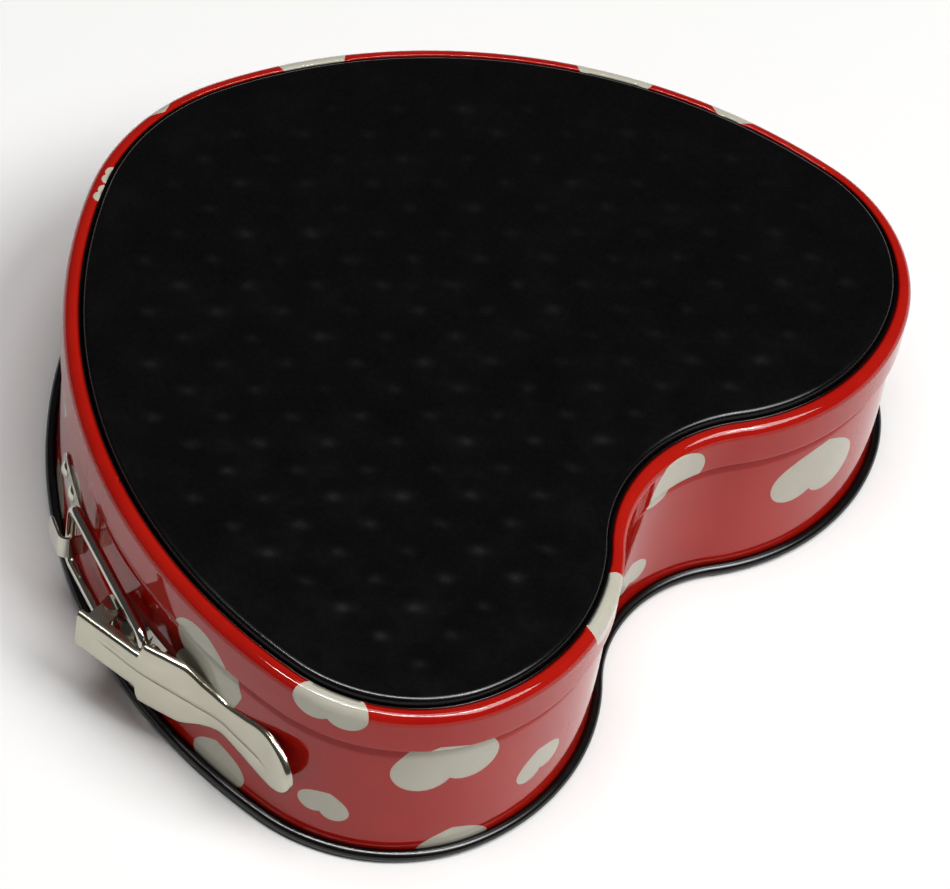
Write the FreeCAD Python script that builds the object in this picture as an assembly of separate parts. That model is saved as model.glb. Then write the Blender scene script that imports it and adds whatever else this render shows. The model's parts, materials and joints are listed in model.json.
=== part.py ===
"""Heart-shaped springform cake tin, stored mouth down with its base plate on top.

Millimetres, +Z up. The wall is described in a heart frame: the outline is symmetric about the
Y axis, its tip points to -Y and its two lobes to +X and -X. A place on the wall is given by
u, the distance outward from the outline, and s, the length along the outline from the tip
towards +X. On export everything is shifted so that the origin is the centre of the bounding
box's underside.
"""
import math
import os

import FreeCAD
import Part

V = FreeCAD.Vector
UP = V(0, 0, 1)

# --- Outline: tip arc, side arc, two lobe arcs and the notch arc, all tangent -----------------
TIP_R, TIP_Y = 68.7, -95.35
SIDE_R = 164.4
LOBE_R, LOBE_X, LOBE_Y = 51.0, 76.4, -6.1
LOBE_TURN = 67.8            # degrees from +X, where the tight lobe arc ends
CROWN_R = 66.0
NOTCH_R = 51.1

# --- Sheet sections: u outward, z up ----------------------------------------------------------
SHEET = 0.6                 # side band
WALL_U = 2.5                # middle of the wall sheet
BEAD_R = 1.5                # rolled bead at the mouth, to the middle of its sheet
SKIRT_U = 4.1               # wider skirt that takes the base plate
STEP_Z, STEP_H = 50.0, 1.4
RIM_Z = 65.6                # top of the turned-in rim
RIM_R = 3.0
PLATE = 0.7                 # base plate sheet
PLATE_FIT = 0.2             # gap between the plate and the rim around it
PLATEAU_Z = 68.0
FLANGE_Z = 52.2             # free edge of the base plate's turned-down flange
FIELD_U = -8.0              # inside this the plateau is flat
WIRE_R = 1.15               # steel wire inside the bead

# --- Ends of the band --------------------------------------------------------------------------
SPLIT_S = 140.0             # the two ends meet here, under the clasp
END_GAP = 0.4
FLEX_GAP = 0.5              # slot where the one-piece band is cut into two rigid halves
TONGUE_S = (122.0, 146.0)   # inner end that slides inside the outer one
TONGUE_Z = (5.0, 48.5)
TONGUE_FIT = 0.1

# --- Clasp ------------------------------------------------------------------------------------
CLASP_Z = 28.5
PIVOT = V(125.0, -69.5, CLASP_Z)
BAIL_AT = V(130.6, -54.0, CLASP_Z)
BAR_AT = V(108.2, -98.8, CLASP_Z)
PIN_R, RUN_FIT = 1.6, 0.05
BAIL_R, BAIL_HALF, BAIL_BEND = 1.65, 11.4, 3.0
BAIL_TIP = 5.0              # how near the mid-plane the bail's turned-in tips reach
FLANGE_OUT, LEVER_T = 7.4, 1.0
LEVER_PLAN = [(133.7, -75.0), (133.9, -52.0), (129.75, -26.0), (131.8, -9.0), (135.9, 4.3)]
LEVER_PLAN_R = [60.0, 25.0, 40.0]
STEP_Y, WIDE_HALF = -51.4, 12.8
LEVER_CURVE = [(-39.0, 12.8), (-31.0, 9.2), (-24.0, 7.1), (-16.5, 8.4), (-9.0, 10.0), (-1.0, 8.2)]
LEVER_TIP = (4.3, 0.0)
HOOK_HALF, HOOK_T = 8.5, 0.8
HOOK_S = (101.0, 132.6)
HOOK_LIP_U, HOOK_LIP_S = 12.7, 123.4
HOOK_RIVETS_S = (105.5, 114.5)
BRACKET_S = (157.0, 186.0)
BRACKET_RIVETS_S = (175.0, 182.0)
BRACKET_HALF, BRACKET_T = 6.2, 1.0
SEAT_U = 2.85               # underside of both brackets, just outside the wall
RIVET_R, RIVET_HEAD_R, RIVET_HEAD_H = 1.5, 2.7, 1.2

WALL_OUT = WALL_U + SHEET / 2


def polar(centre, radius, degrees):
    angle = math.radians(degrees)
    return V(centre.x + radius * math.cos(angle), centre.y + radius * math.sin(angle), 0)


def heading(vector):
    return math.degrees(math.atan2(vector.y, vector.x))


def outline_arcs():
    """Arcs from the tip to the notch on the +X side: (centre, radius, start, sweep, side).

    side is +1 where the centre is inside the heart and -1 for the notch.
    """
    tip = V(0, TIP_Y, 0)
    lobe = V(LOBE_X, LOBE_Y, 0)
    apart = lobe - tip
    along = (((SIDE_R - TIP_R) ** 2 - (SIDE_R - LOBE_R) ** 2) / apart.Length + apart.Length) / 2
    across = math.sqrt((SIDE_R - TIP_R) ** 2 - along ** 2)
    axis = apart / apart.Length
    side = tip + axis * along + V(-axis.y, axis.x, 0) * across
    crown = polar(lobe, LOBE_R - CROWN_R, LOBE_TURN)
    notch = V(0, crown.y + math.sqrt((CROWN_R + NOTCH_R) ** 2 - crown.x ** 2), 0)
    tip_end = heading(tip - side)
    side_end = heading(lobe - side)
    crown_end = heading(notch - crown)
    return [
        (tip, TIP_R, -90.0, tip_end + 90.0, 1),
        (side, SIDE_R, tip_end, side_end - tip_end, 1),
        (lobe, LOBE_R, side_end, LOBE_TURN - side_end, 1),
        (crown, CROWN_R, LOBE_TURN, crown_end - LOBE_TURN, 1),
        (notch, NOTCH_R, crown_end - 180.0, -(90.0 - (180.0 - crown_end)), -1),
    ]


ARCS = outline_arcs()
TIP_ARC, SIDE_ARC = ARCS[:2]


def side_angle(s):
    """Angle on the +X side arc of the place s along the outline."""
    centre, radius, start = SIDE_ARC[:3]
    tip_length = TIP_ARC[1] * math.radians(TIP_ARC[3])
    return start + math.degrees((s - tip_length) / radius)


def on_wall(s, u, z=0.0):
    """Point at s along the +X side, u outward of the outline."""
    point = polar(SIDE_ARC[0], SIDE_ARC[1] + u, side_angle(s))
    return V(point.x, point.y, z)


def strip_wire(points, radii, thickness, to_point):
    """Closed wire of a sheet of even thickness around a path with rounded corners.

    points are 2-D path vertices, radii the corner radii to the middle of the sheet at the
    inner vertices (0 leaves a sharp corner), and to_point maps a 2-D point into space.
    """
    half = thickness / 2
    runs = []
    for (ax, ay), (bx, by) in zip(points, points[1:]):
        length = math.hypot(bx - ax, by - ay)
        runs.append(((bx - ax) / length, (by - ay) / length))

    def shifted(point, run, offset):
        return (point[0] - run[1] * offset, point[1] + run[0] * offset)

    def side_edges(offset):
        edges = []
        last = shifted(points[0], runs[0], offset)
        for corner, radius, before, after in zip(points[1:], radii, runs, runs[1:]):
            turn = before[0] * after[1] - before[1] * after[0]
            cosine = max(-1.0, min(1.0, before[0] * after[0] + before[1] * after[1]))
            bend = math.acos(cosine)
            if bend < 1e-6:
                continue
            trim = radius * math.tan(bend / 2)
            enter = (corner[0] - before[0] * trim, corner[1] - before[1] * trim)
            leave = (corner[0] + after[0] * trim, corner[1] + after[1] * trim)
            if radius == 0:
                reach = offset * math.tan(bend / 2) * (1 if turn > 0 else -1)
                meet = shifted(corner, before, offset)
                meet = (meet[0] - before[0] * reach, meet[1] - before[1] * reach)
                edges.append((last, meet))
                last = meet
                continue
            first = shifted(enter, before, offset)
            final = shifted(leave, after, offset)
            middle_run = (before[0] + after[0], before[1] + after[1])
            size = math.hypot(*middle_run)
            middle_run = (middle_run[0] / size, middle_run[1] / size)
            sign = 1 if turn > 0 else -1
            centre = shifted(enter, before, sign * radius)
            middle = shifted(centre, middle_run, offset - sign * radius)
            edges.append((last, first))
            edges.append((first, middle, final))
            last = final
        edges.append((last, shifted(points[-1], runs[-1], offset)))
        return edges

    left = side_edges(half)
    right = side_edges(-half)
    ring = left + [(left[-1][-1], right[-1][-1])]
    ring += [tuple(reversed(edge)) for edge in reversed(right)] + [(right[0][0], left[0][0])]
    made = []
    for edge in ring:
        ends = [to_point(point) for point in edge]
        if (ends[0] - ends[-1]).Length < 1e-5:
            continue
        if len(ends) == 3:
            made.append(Part.Arc(*ends).toShape())
        else:
            made.append(Part.makeLine(*ends))
    return Part.Wire(Part.__sortEdges__(made))


def section_wire(section, centre, radius, side, degrees):
    """The (u, z) sheet section as a wire in the vertical plane through an arc's centre."""
    path, radii, thickness = section

    def place(point):
        spot = polar(centre, radius + side * point[0], degrees)
        return V(spot.x, spot.y, point[1])

    return strip_wire(path, radii, thickness, place)


def circle_section(u, z, radius):
    """A round wire's section as a function of its arc, like section_wire."""
    def build(centre, arc_radius, side, degrees):
        spot = polar(centre, arc_radius + side * u, degrees)
        normal = V(-math.sin(math.radians(degrees)), math.cos(math.radians(degrees)), 0)
        return Part.Wire([Part.makeCircle(radius, V(spot.x, spot.y, z), normal)])
    return build


def sheet_section(path, radii, thickness):
    def build(centre, radius, side, degrees):
        return section_wire((path, radii, thickness), centre, radius, side, degrees)
    return build


def swept(build, arcs):
    """One solid of a section carried along a chain of arcs."""
    pieces = []
    for centre, radius, start, sweep, side in arcs:
        if abs(sweep) < 1e-6:
            continue
        face = Part.Face(build(centre, radius, side, start))
        pieces.append(face.revolve(centre, UP, sweep))
    whole = pieces[0].multiFuse(pieces[1:]) if len(pieces) > 1 else pieces[0]
    return single(whole.removeSplitter())


def single(shape):
    """The one solid of a shape."""
    solids = shape.Solids
    if len(solids) != 1:
        raise ValueError("expected one solid, found %d" % len(solids))
    return solids[0]


def mirrored(arc):
    """The same arc on the -X side, still running from the tip to the notch."""
    centre, radius, start, sweep, side = arc
    return (V(-centre.x, centre.y, 0), radius, 180.0 - start, -sweep, side)


def backwards(arc):
    centre, radius, start, sweep, side = arc
    return (centre, radius, start + sweep, -sweep, side)


def trimmed(arc, before=0.0, after=0.0):
    """An arc shortened by two lengths."""
    centre, radius, start, sweep, side = arc
    sign = 1 if sweep > 0 else -1
    cut_start = sign * math.degrees(before / radius)
    cut_end = sign * math.degrees(after / radius)
    return (centre, radius, start + cut_start, sweep - cut_start - cut_end, side)


def side_piece(from_s, to_s):
    """Part of the +X side arc between two places."""
    centre, radius = SIDE_ARC[:2]
    return (centre, radius, side_angle(from_s), side_angle(to_s) - side_angle(from_s), 1)


def clasp_half_arcs(end_trim=0.0):
    """From the split under the clasp, round +X lobe, notch and -X lobe, to the flexing slot."""
    side_end_s = TIP_ARC[1] * math.radians(TIP_ARC[3]) + SIDE_R * math.radians(SIDE_ARC[3])
    right = [side_piece(SPLIT_S + end_trim, side_end_s)] + ARCS[2:]
    left = [backwards(mirrored(arc)) for arc in reversed(ARCS[2:])]
    left[-1] = trimmed(left[-1], after=FLEX_GAP / 2 + end_trim)
    return right + left


def hook_half_arcs(end_trim=0.0):
    """From the split, back along the side, round the tip and up the -X side to the slot."""
    tip_s = TIP_ARC[1] * math.radians(TIP_ARC[3])
    right = [side_piece(SPLIT_S - END_GAP - end_trim, tip_s), backwards(TIP_ARC)]
    left = [mirrored(TIP_ARC), trimmed(mirrored(SIDE_ARC), after=FLEX_GAP / 2 + end_trim)]
    return right + left


def closed_arcs():
    return ARCS + [backwards(mirrored(arc)) for arc in reversed(ARCS)]


def box_on_wall(s_from, s_to, u_from, u_to, z_from, z_to):
    """A curved block that follows the +X side."""
    path = [((u_from + u_to) / 2, z_from), ((u_from + u_to) / 2, z_to)]
    return swept(sheet_section(path, [], u_to - u_from), [side_piece(s_from, s_to)])


def rivet_frame(s):
    """Axis point on the outline and outward direction at s."""
    foot = on_wall(s, 0, CLASP_Z)
    return foot, (on_wall(s, 1, CLASP_Z) - foot)


def rivet_hole(s):
    foot, out = rivet_frame(s)
    return Part.makeCylinder(RIVET_R, 12, foot - out * 2, out)


def rivet(s, bracket_t):
    """Rivet with a domed head on the bracket and a flat closing head inside the wall."""
    foot, out = rivet_frame(s)
    inner = WALL_U - SHEET / 2 - 0.05
    outer = SEAT_U + bracket_t + 0.05
    shank = Part.makeCylinder(RIVET_R, outer - inner, foot + out * inner, out)
    closing = Part.makeCylinder(RIVET_HEAD_R, 0.8, foot + out * (inner - 0.8), out)
    dome_r = (RIVET_HEAD_R ** 2 + RIVET_HEAD_H ** 2) / (2 * RIVET_HEAD_H)
    ball = Part.makeSphere(dome_r, foot + out * (outer + RIVET_HEAD_H - dome_r))
    keep = Part.makeCylinder(RIVET_HEAD_R, RIVET_HEAD_H, foot + out * outer, out)
    return single(shank.multiFuse([closing, ball.common(keep)]).removeSplitter())


def band_section():
    """Bead rolled outward at the mouth, wall, step, skirt and turned-in rim."""
    bead_out = WALL_U + 2 * BEAD_R
    bead_z = BEAD_R + SHEET / 2
    path = [
        (WALL_U + BEAD_R, bead_z + BEAD_R),
        (bead_out, bead_z + BEAD_R),
        (bead_out, bead_z - BEAD_R),
        (WALL_U, bead_z - BEAD_R),
        (WALL_U, STEP_Z),
        (SKIRT_U, STEP_Z + STEP_H),
        (SKIRT_U, RIM_Z - SHEET / 2),
        (0.0, RIM_Z - SHEET / 2),
    ]
    return sheet_section(path, [BEAD_R, BEAD_R, BEAD_R, 1.0, 1.0, RIM_R], SHEET)


def side_band_clasp_half():
    """The half that carries the lever, with the inner tongue of the overlap."""
    band = swept(band_section(), clasp_half_arcs())
    tongue_out = WALL_U - SHEET / 2 - TONGUE_FIT
    tongue = box_on_wall(*TONGUE_S, tongue_out - SHEET, tongue_out, *TONGUE_Z)
    joggle = box_on_wall(TONGUE_S[1] - 4, TONGUE_S[1], tongue_out - SHEET, WALL_U, *TONGUE_Z)
    band = band.multiFuse([tongue, joggle])
    for s in BRACKET_RIVETS_S:
        band = band.cut(rivet_hole(s))
    return single(band.removeSplitter())


def side_band_hook_half():
    """The half that carries the hook."""
    band = swept(band_section(), hook_half_arcs())
    for s in HOOK_RIVETS_S:
        band = band.cut(rivet_hole(s))
    return single(band)


def rim_wire(arcs):
    """Stiffening wire inside the rolled bead."""
    return swept(circle_section(WALL_U + BEAD_R, BEAD_R + SHEET / 2, WIRE_R), arcs)


def base_plate():
    """Loose base: flange inside the skirt, shoulder under the rim, raised plateau."""
    flange_u = SKIRT_U - SHEET / 2 - PLATE_FIT - PLATE / 2
    shelf_z = RIM_Z - SHEET - PLATE_FIT - PLATE / 2
    top_z = PLATEAU_Z - PLATE / 2
    path = [(flange_u, FLANGE_Z), (flange_u, shelf_z), (-1.8, shelf_z), (-3.6, top_z), (FIELD_U, top_z)]
    rim = swept(sheet_section(path, [2.6, 0.9, 1.6], PLATE), closed_arcs())
    edges = []
    for centre, radius, start, sweep, side in closed_arcs():
        reach = radius + side * FIELD_U
        ends = [polar(centre, reach, start + sweep * part) for part in (0, 0.5, 1)]
        edges.append(Part.Arc(*ends).toShape())
    field = Part.Face(Part.Wire(edges)).extrude(UP * PLATE)
    field.translate(UP * (PLATEAU_Z - PLATE))
    return single(rim.fuse(field).removeSplitter())


def plan_strip(points, radii, thickness, z_from, z_to):
    """A bent sheet drawn in plan and standing between two heights."""
    wire = strip_wire(points, radii, thickness, lambda point: V(point[0], point[1], z_from))
    return Part.Face(wire).extrude(UP * (z_to - z_from))


def hook_bracket():
    """Riveted plate whose end turns outward and back into an open hook for the bail."""
    seat = SEAT_U + HOOK_T / 2
    lip = HOOK_LIP_U - HOOK_T / 2
    steps = 5
    spread = HOOK_S[1] - HOOK_S[0]
    spots = [on_wall(HOOK_S[0] + spread * i / steps, seat) for i in range(steps + 1)]
    spots += [on_wall(HOOK_S[1], lip), on_wall(HOOK_LIP_S, lip)]
    radii = [0.0] * (steps - 1) + [2.4, 2.4]
    points = [(spot.x, spot.y) for spot in spots]
    body = plan_strip(points, radii, HOOK_T, CLASP_Z - HOOK_HALF, CLASP_Z + HOOK_HALF)
    for s in HOOK_RIVETS_S:
        body = body.cut(rivet_hole(s))
    return single(body)


def ear_face(points, round_at, radius, z):
    """Flat ear: a polygon in plan joined to a round boss."""
    corners = [V(x, y, z) for x, y in points]
    polygon = Part.Face(Part.makePolygon(corners + corners[:1]))
    disc = Part.Face(Part.Wire([Part.makeCircle(radius, V(round_at.x, round_at.y, z))]))
    return polygon.fuse(disc).removeSplitter()


def lever_bracket():
    """Riveted seat with two ears that carry the lever's pivot pin."""
    seat = SEAT_U + BRACKET_T / 2
    steps = 5
    spread = BRACKET_S[1] - BRACKET_S[0]
    spots = [on_wall(BRACKET_S[0] + spread * i / steps, seat) for i in range(steps + 1)]
    points = [(spot.x, spot.y) for spot in spots]
    body = plan_strip(points, [0.0] * (steps - 1), BRACKET_T,
                      CLASP_Z - BRACKET_HALF, CLASP_Z + BRACKET_HALF)
    near, far = on_wall(BRACKET_S[0], seat), on_wall(BRACKET_S[0] + 13.0, seat)
    inner = PIVOT + V(-1.0, -3.6, 0)
    outer = PIVOT + V(1.8, 3.3, 0)
    outline = [(near.x, near.y), (inner.x, inner.y), (outer.x, outer.y), (far.x, far.y)]
    ears = []
    for bottom in (CLASP_Z - BRACKET_HALF, CLASP_Z + BRACKET_HALF - BRACKET_T):
        face = ear_face(outline, PIVOT, 3.8, bottom)
        ears.append(face.extrude(UP * BRACKET_T))
    body = body.multiFuse(ears)
    pin = Part.makeCylinder(PIN_R, 40, V(PIVOT.x, PIVOT.y, CLASP_Z - 20))
    body = body.cut(pin)
    for s in BRACKET_RIVETS_S:
        body = body.cut(rivet_hole(s))
    return single(body.removeSplitter())


def lever_pivot_pin():
    """Pin with two heads, fixed in the bracket's ears."""
    head_at = FLANGE_OUT + 0.1
    pin = Part.makeCylinder(PIN_R, 2 * head_at, PIVOT - UP * head_at)
    heads = [Part.makeCylinder(2.8, 1.2, PIVOT + UP * head_at),
             Part.makeCylinder(2.8, 1.2, PIVOT - UP * (head_at + 1.2))]
    return single(pin.multiFuse(heads).removeSplitter())


def lever_side_face():
    """The lever's outline seen from outside, in the YZ plane."""
    heel_y = LEVER_PLAN[0][1]
    upper = [(heel_y, FLANGE_OUT), (STEP_Y - 0.8, FLANGE_OUT), (STEP_Y, WIDE_HALF), LEVER_CURVE[0]]
    edges = []
    for mirror in (1, -1):
        corners = [V(0, y, CLASP_Z + mirror * z) for y, z in upper]
        edges += [Part.makeLine(a, b) for a, b in zip(corners, corners[1:])]
        curve = Part.BSplineCurve()
        through = [V(0, y, CLASP_Z + mirror * z) for y, z in LEVER_CURVE + [LEVER_TIP]]
        curve.interpolate(through, InitialTangent=V(0, 1, 0), FinalTangent=V(0, 0, -mirror))
        edges.append(curve.toShape())
    edges.append(Part.makeLine(V(0, heel_y, CLASP_Z - FLANGE_OUT), V(0, heel_y, CLASP_Z + FLANGE_OUT)))
    return Part.Face(Part.Wire(Part.__sortEdges__(edges)))


def lever():
    """Pressed lever: curved outer plate and two inward flanges with the pivot and bail holes."""
    tall = plan_strip(LEVER_PLAN, LEVER_PLAN_R, LEVER_T, CLASP_Z - 20, CLASP_Z + 20)
    side = lever_side_face()
    side.translate(V(100, 0, 0))
    plate = tall.common(side.extrude(V(60, 0, 0)))
    back = LEVER_PLAN[0][0]
    heel_y = LEVER_PLAN[0][1]
    outline = [(back, heel_y), (back, STEP_Y + 4.4), (BAIL_AT.x - 1.8, BAIL_AT.y + 2.7),
               (PIVOT.x - 2.4, PIVOT.y + 2.9), (PIVOT.x + 0.4, PIVOT.y - 3.8)]
    flanges = []
    for bottom in (CLASP_Z - FLANGE_OUT, CLASP_Z + FLANGE_OUT - LEVER_T):
        flange = ear_face(outline, PIVOT, 3.8, bottom)
        boss = Part.Face(Part.Wire([Part.makeCircle(3.2, V(BAIL_AT.x, BAIL_AT.y, bottom))]))
        flanges.append(flange.fuse(boss).removeSplitter().extrude(UP * LEVER_T))
    body = plate.multiFuse(flanges)
    body = body.cut(Part.makeCylinder(PIN_R + RUN_FIT, 40, PIVOT - UP * 20))
    body = body.cut(Part.makeCylinder(BAIL_R + RUN_FIT, 40, BAIL_AT - UP * 20))
    return single(body.removeSplitter())


def bail():
    """Bent wire: tips turned into the lever's flanges, two legs and the cross bar in the hook."""
    reach = BAR_AT - BAIL_AT
    length = reach.Length
    axis = reach / length
    corners = [(0, BAIL_TIP), (0, BAIL_HALF), (length, BAIL_HALF), (length, -BAIL_HALF),
               (0, -BAIL_HALF), (0, -BAIL_TIP)]
    spots = [BAIL_AT + axis * along + UP * height for along, height in corners]
    edges = []
    last = spots[0]
    for before, corner, after in zip(spots, spots[1:], spots[2:]):
        inward = (before - corner).normalize()
        onward = (after - corner).normalize()
        enter = corner + inward * BAIL_BEND
        leave = corner + onward * BAIL_BEND
        middle = corner + (inward + onward) * BAIL_BEND - (inward + onward).normalize() * BAIL_BEND
        edges.append(Part.makeLine(last, enter))
        edges.append(Part.Arc(enter, middle, leave).toShape())
        last = leave
    edges.append(Part.makeLine(last, spots[-1]))
    path = Part.Wire(edges)
    profile = Part.Wire([Part.makeCircle(BAIL_R, spots[0], UP)])
    return single(path.makePipeShell([profile], True, True))


def parts():
    """Every node by name, in the heart frame."""
    nodes = {
        "side_band_clasp_half": side_band_clasp_half(),
        "side_band_hook_half": side_band_hook_half(),
        "rim_wire_clasp_half": rim_wire(clasp_half_arcs(end_trim=0.5)),
        "rim_wire_hook_half": rim_wire(hook_half_arcs(end_trim=0.5)),
        "base_plate": base_plate(),
        "hook_bracket": hook_bracket(),
        "lever_bracket": lever_bracket(),
        "lever_pivot_pin": lever_pivot_pin(),
        "lever": lever(),
        "bail": bail(),
    }
    for number, s in enumerate(HOOK_RIVETS_S, 1):
        nodes["hook_rivet_%d" % number] = rivet(s, HOOK_T)
    for number, s in enumerate(BRACKET_RIVETS_S, 1):
        nodes["bracket_rivet_%d" % number] = rivet(s, BRACKET_T)
    return nodes


def main():
    nodes = parts()
    box = FreeCAD.BoundBox()
    for shape in nodes.values():
        box.add(shape.optimalBoundingBox(False, False))
    shift = V(-box.Center.x, -box.Center.y, -box.ZMin)
    print("origin shift", shift, "size", box.XLength, box.YLength, box.ZLength)
    os.makedirs("parts", exist_ok=True)
    for name, shape in nodes.items():
        shape.translate(shift)
        shape.exportStep("parts/%s.step" % name)


main()
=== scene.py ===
"""Looks of a heart-shaped springform cake tin that lies mouth down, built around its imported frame.

Lengths are millimetres in the tin's heart frame until to_metres() places them: the outline is
symmetric about the Y axis, s runs along it from the tip towards +X, and u points outward.
"""
import json
import math

import bmesh
import bpy
from mathutils import Matrix, Vector
from mathutils.geometry import delaunay_2d_cdt


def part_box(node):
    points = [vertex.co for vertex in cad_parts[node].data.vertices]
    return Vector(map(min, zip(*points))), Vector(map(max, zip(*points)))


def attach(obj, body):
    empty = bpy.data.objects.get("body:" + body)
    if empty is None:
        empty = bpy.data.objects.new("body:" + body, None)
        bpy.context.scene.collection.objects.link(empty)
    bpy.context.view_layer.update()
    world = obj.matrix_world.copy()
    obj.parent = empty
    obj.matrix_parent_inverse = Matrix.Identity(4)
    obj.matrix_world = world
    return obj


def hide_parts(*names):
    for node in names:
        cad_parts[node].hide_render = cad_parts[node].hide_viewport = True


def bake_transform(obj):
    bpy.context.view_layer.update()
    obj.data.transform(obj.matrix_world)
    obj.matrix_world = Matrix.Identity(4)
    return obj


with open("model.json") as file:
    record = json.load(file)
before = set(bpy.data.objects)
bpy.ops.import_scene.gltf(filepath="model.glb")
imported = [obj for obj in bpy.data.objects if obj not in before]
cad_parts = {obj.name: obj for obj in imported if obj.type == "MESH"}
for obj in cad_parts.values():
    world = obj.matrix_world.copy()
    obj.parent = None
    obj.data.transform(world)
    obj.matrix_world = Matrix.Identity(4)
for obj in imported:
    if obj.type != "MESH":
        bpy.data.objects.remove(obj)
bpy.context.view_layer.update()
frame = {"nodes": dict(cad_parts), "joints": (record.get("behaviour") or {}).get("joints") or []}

MM = 0.001

# --- Outline, as in the CAD model: tip, side, two lobe arcs and the notch, all tangent ------------
TIP_R, TIP_Y = 68.7, -95.35
SIDE_R = 164.4
LOBE_R, LOBE_X, LOBE_Y = 51.0, 76.4, -6.1
LOBE_TURN = 67.8
CROWN_R = 66.0
NOTCH_R = 51.1

# --- Sheet sections: the middle of the sheet ------------------------------------------------------
SHEET = 0.6
WALL_U, SKIRT_U = 2.5, 4.1
STEP_Z, STEP_H, STEP_R = 50.0, 1.4, 1.0
CREASE_U, CREASE_RUN, CREASE_R = 1.5, 3.6, 0.6      # the crease pressed in just under the step
TOE_R = 5.0                         # where the crease's slope runs into the wall
RIM_Z, RIM_R = 65.6, 3.0
RIM_TOP_U = 1.0                     # nearer the plate than this, the section is never wall
BEAD_R, BEAD_END = 1.5, 488.0       # the roll ends where it meets the wall again, degrees
BEAD_STEPS = 26
PLATE = 0.7
PLATE_U, SHELF_Z, PLATEAU_Z = 3.25, 64.45, 68.0
SHOULDER_U, SHOULDER_R = (-2.0, -0.9), 1.3          # the plateau's edge, at its top and at its foot
SHELF_R, FLANGE_R = 0.7, 2.4
FLANGE_Z, FIELD_U = 52.2, -7.0

# --- Base plate's pressed bumps -------------------------------------------------------------------
BUMP_PITCH, BUMP_TURN = (14.1, 13.8), -1.5
BUMP_SHIFT = (1.63, -6.53)
BUMP_R, BUMP_H = 5.2, 0.55
BUMP_CLEAR = 6.5                    # least distance from a bump's centre to the field's edge
BUMP_COLUMNS, BUMP_ROWS = range(-12, 13), range(-16, 9)
FIELD_STEP = 1.3
SLOPE_STEP = 0.05                   # over which a bump's slope is measured

# --- Ends of the band -----------------------------------------------------------------------------
SPLIT_S, END_GAP = 140.0, 0.06
SEAM_BEFORE = 14.0                  # the two meshes meet this far before the bend's middle
TONGUE_S, TONGUE_U, TONGUE_Z = (122.0, 146.0), (1.5, 2.1), (5.0, 46.0)
TONGUE_ROOT = 4.0                   # length of the tongue that is joined to the wall

# --- Fineness of the meshes -----------------------------------------------------------------------
COLUMN_STEP, COLUMN_TURN = 3.6, 0.038               # the turn in radians
LEAST_COLUMN = 0.15
SAME_PLACE, SAME_SAMPLE = 1e-4, 1e-6
ROUNDING = 1e-9
SLIVER_AREA = 1e-7
SKIN_MERGE, FIELD_MERGE = 1e-5, 1e-6                # how near a triangulation's points are joined
HULL, INSIDE = 0, 1                 # what it keeps: all within its hull, or within its edges

# --- Where the frame puts the tin -----------------------------------------------------------------
PLATE_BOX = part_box("base_plate")
BAND_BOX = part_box("side_band_hook_half")
CLASP_Z = (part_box("lever")[0].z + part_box("lever")[1].z) / 2 / MM
TIP_OUT = WALL_U + 2 * BEAD_R + SHEET / 2
ORIGIN = Vector(((PLATE_BOX[0].x + PLATE_BOX[1].x) / 2 / MM,
                 BAND_BOX[0].y / MM - TIP_Y + TIP_R + TIP_OUT, 0))


def to_metres(point):
    """Heart frame in millimetres to the shared frame in metres."""
    return (Vector(point) + ORIGIN) * MM


def joint_at(name):
    """A joint's place in the heart frame."""
    found = [joint for joint in frame["joints"] if joint["name"] == name]
    return Vector(found[0]["pos_m"]) / MM - ORIGIN


# --- Camera: where the tin is seen from, in the shared frame, and how the lens is turned ----------
CAMERA_AT = Vector((955.2, 581.7, 1344.1)) * MM
CAMERA_TO = Vector((8.9, 30.0, 40.0)) * MM
CAMERA_ROLL = 10.2
LENS, SENSOR = 222.0, 36.0
CLIP_END = 20.0                     # metres


def add_camera():
    """A long lens from above the tin's back, aimed first and then turned about its axis."""
    data = bpy.data.cameras.new("camera")
    data.lens = LENS
    data.sensor_width = SENSOR
    data.clip_end = CLIP_END
    camera = bpy.data.objects.new("camera", data)
    bpy.context.scene.collection.objects.link(camera)
    aim = (CAMERA_TO - CAMERA_AT).to_track_quat("-Z", "Y")
    turned = aim.to_matrix().to_4x4() @ Matrix.Rotation(math.radians(CAMERA_ROLL), 4, "Z")
    camera.matrix_world = Matrix.Translation(CAMERA_AT) @ turned
    bpy.context.scene.camera = camera


# --- The outline ----------------------------------------------------------------------------------
def polar(centre, radius, degrees):
    """The point at a distance and direction from a centre."""
    angle = math.radians(degrees)
    return Vector((centre[0] + radius * math.cos(angle), centre[1] + radius * math.sin(angle)))


def heading(vector):
    """Direction of a vector in degrees."""
    return math.degrees(math.atan2(vector[1], vector[0]))


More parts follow.
